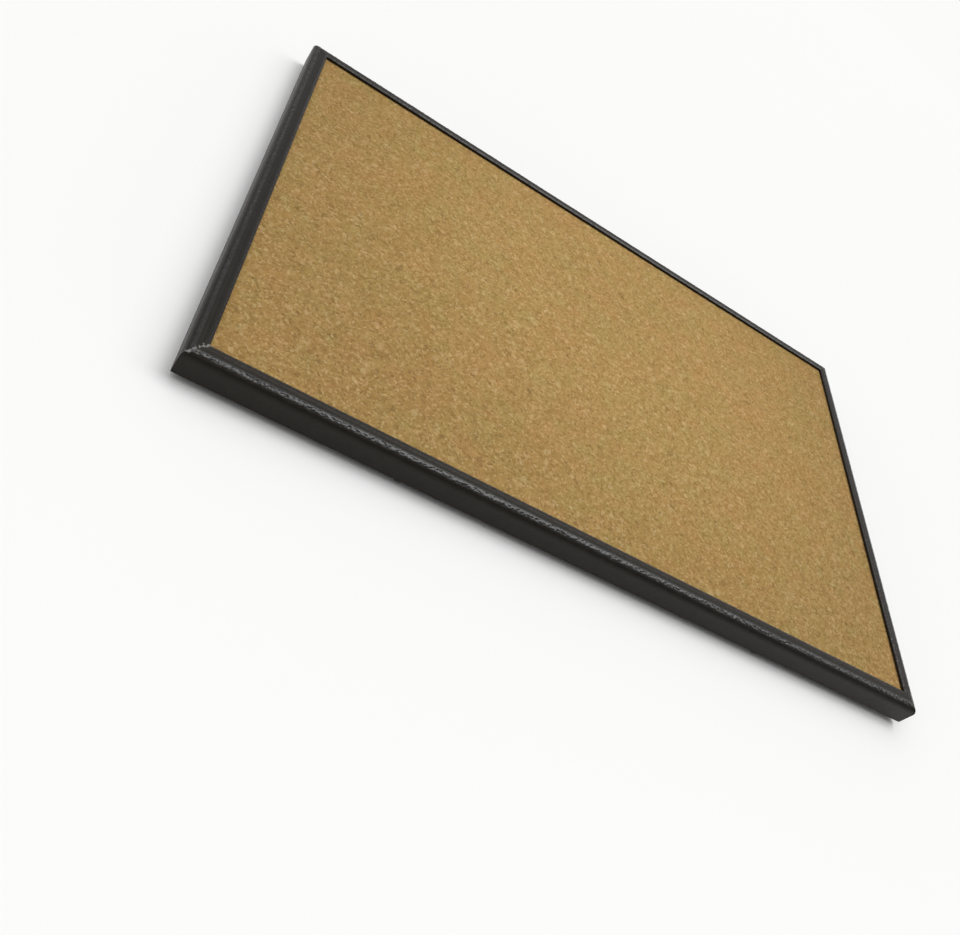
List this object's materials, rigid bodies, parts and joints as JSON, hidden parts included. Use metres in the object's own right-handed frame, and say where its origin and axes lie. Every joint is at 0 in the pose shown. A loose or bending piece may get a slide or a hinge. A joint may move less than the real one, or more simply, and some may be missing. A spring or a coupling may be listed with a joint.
{
  "type": "pin badge board",
  "caption": "Wall pin board for badges: fine cork sheet in a mitred black moulding frame, soft core, closed back with turn buttons, D-ring hangers and rubber pads.",
  "frame": {"origin": "under the middle of the board, on the plane that the four back pads stand on", "axes": "+X along the long side, +Y towards the edge that is up when it hangs, +Z out of the cork face"},
  "size_m": [0.6, 0.4, 0.0252],
  "materials": {
    "black_moulding": "satin black, slightly rough foil over a wood moulding",
    "cork": "matt fine-grained agglomerated cork",
    "softboard": "matt soft fibreboard",
    "hardboard": "smooth brown hardboard",
    "nail_steel": "bare spring steel",
    "black_plate": "black lacquered pressed steel",
    "black_screw": "black lacquered steel",
    "zinc_plate": "bright zinc-plated pressed steel",
    "zinc_screw": "bright zinc-plated steel",
    "zinc_wire": "polished plated wire",
    "pad_rubber": "matt black rubber"
  },
  "bodies": {
    "frame": {"bottom_rail": "black_moulding", "right_rail": "black_moulding", "top_rail": "black_moulding", "left_rail": "black_moulding", "cork_sheet": "cork", "pin_core": "softboard", "backing_board": "hardboard", "v_nail_bottom_left_rear": "nail_steel", "v_nail_bottom_left_deep": "nail_steel", "v_nail_bottom_right_rear": "nail_steel", "v_nail_bottom_right_deep": "nail_steel", "v_nail_top_right_rear": "nail_steel", "v_nail_top_right_deep": "nail_steel", "v_nail_top_left_rear": "nail_steel", "v_nail_top_left_deep": "nail_steel", "turn_button_screw_bottom_left": "black_screw", "turn_button_screw_bottom_right": "black_screw", "turn_button_screw_right": "black_screw", "turn_button_screw_top_right": "black_screw", "turn_button_screw_top_left": "black_screw", "turn_button_screw_left": "black_screw", "hanger_strap_left": "zinc_plate", "hanger_strap_right": "zinc_plate", "hanger_screw_left": "zinc_screw", "hanger_screw_right": "zinc_screw", "back_pad_bottom_left": "pad_rubber", "back_pad_bottom_right": "pad_rubber", "back_pad_top_right": "pad_rubber", "back_pad_top_left": "pad_rubber"},
    "turn_button_bottom_left": {"turn_button_bottom_left": "black_plate"},
    "turn_button_bottom_right": {"turn_button_bottom_right": "black_plate"},
    "turn_button_right": {"turn_button_right": "black_plate"},
    "turn_button_top_right": {"turn_button_top_right": "black_plate"},
    "turn_button_top_left": {"turn_button_top_left": "black_plate"},
    "turn_button_left": {"turn_button_left": "black_plate"},
    "d_ring_left": {"d_ring_left": "zinc_wire"},
    "d_ring_right": {"d_ring_right": "zinc_wire"}
  },
  "joints": [
    {"name": "turn_button_bottom_left_turn", "type": "hinge", "parent": "frame", "child": "turn_button_bottom_left", "pos_m": [-0.15, -0.19625, 0.0037], "axis": [0, 0, 1], "continuous": true},
    {"name": "turn_button_bottom_right_turn", "type": "hinge", "parent": "frame", "child": "turn_button_bottom_right", "pos_m": [0.15, -0.19625, 0.0037], "axis": [0, 0, 1], "continuous": true},
    {"name": "turn_button_right_turn", "type": "hinge", "parent": "frame", "child": "turn_button_right", "pos_m": [0.29625, 0, 0.0037], "axis": [0, 0, 1], "continuous": true},
    {"name": "turn_button_top_right_turn", "type": "hinge", "parent": "frame", "child": "turn_button_top_right", "pos_m": [0.15, 0.19625, 0.0037], "axis": [0, 0, 1], "continuous": true},
    {"name": "turn_button_top_left_turn", "type": "hinge", "parent": "frame", "child": "turn_button_top_left", "pos_m": [-0.15, 0.19625, 0.0037], "axis": [0, 0, 1], "continuous": true},
    {"name": "turn_button_left_turn", "type": "hinge", "parent": "frame", "child": "turn_button_left", "pos_m": [-0.29625, 0, 0.0037], "axis": [0, 0, 1], "continuous": true},
    {"name": "d_ring_left_swing", "type": "hinge", "parent": "frame", "child": "d_ring_left", "pos_m": [-0.283, 0.08, 0.00235], "axis": [0, 1, 0], "range_deg": [0, 165]},
    {"name": "d_ring_right_swing", "type": "hinge", "parent": "frame", "child": "d_ring_right", "pos_m": [0.283, 0.08, 0.00235], "axis": [0, -1, 0], "range_deg": [0, 165]}
  ]
}
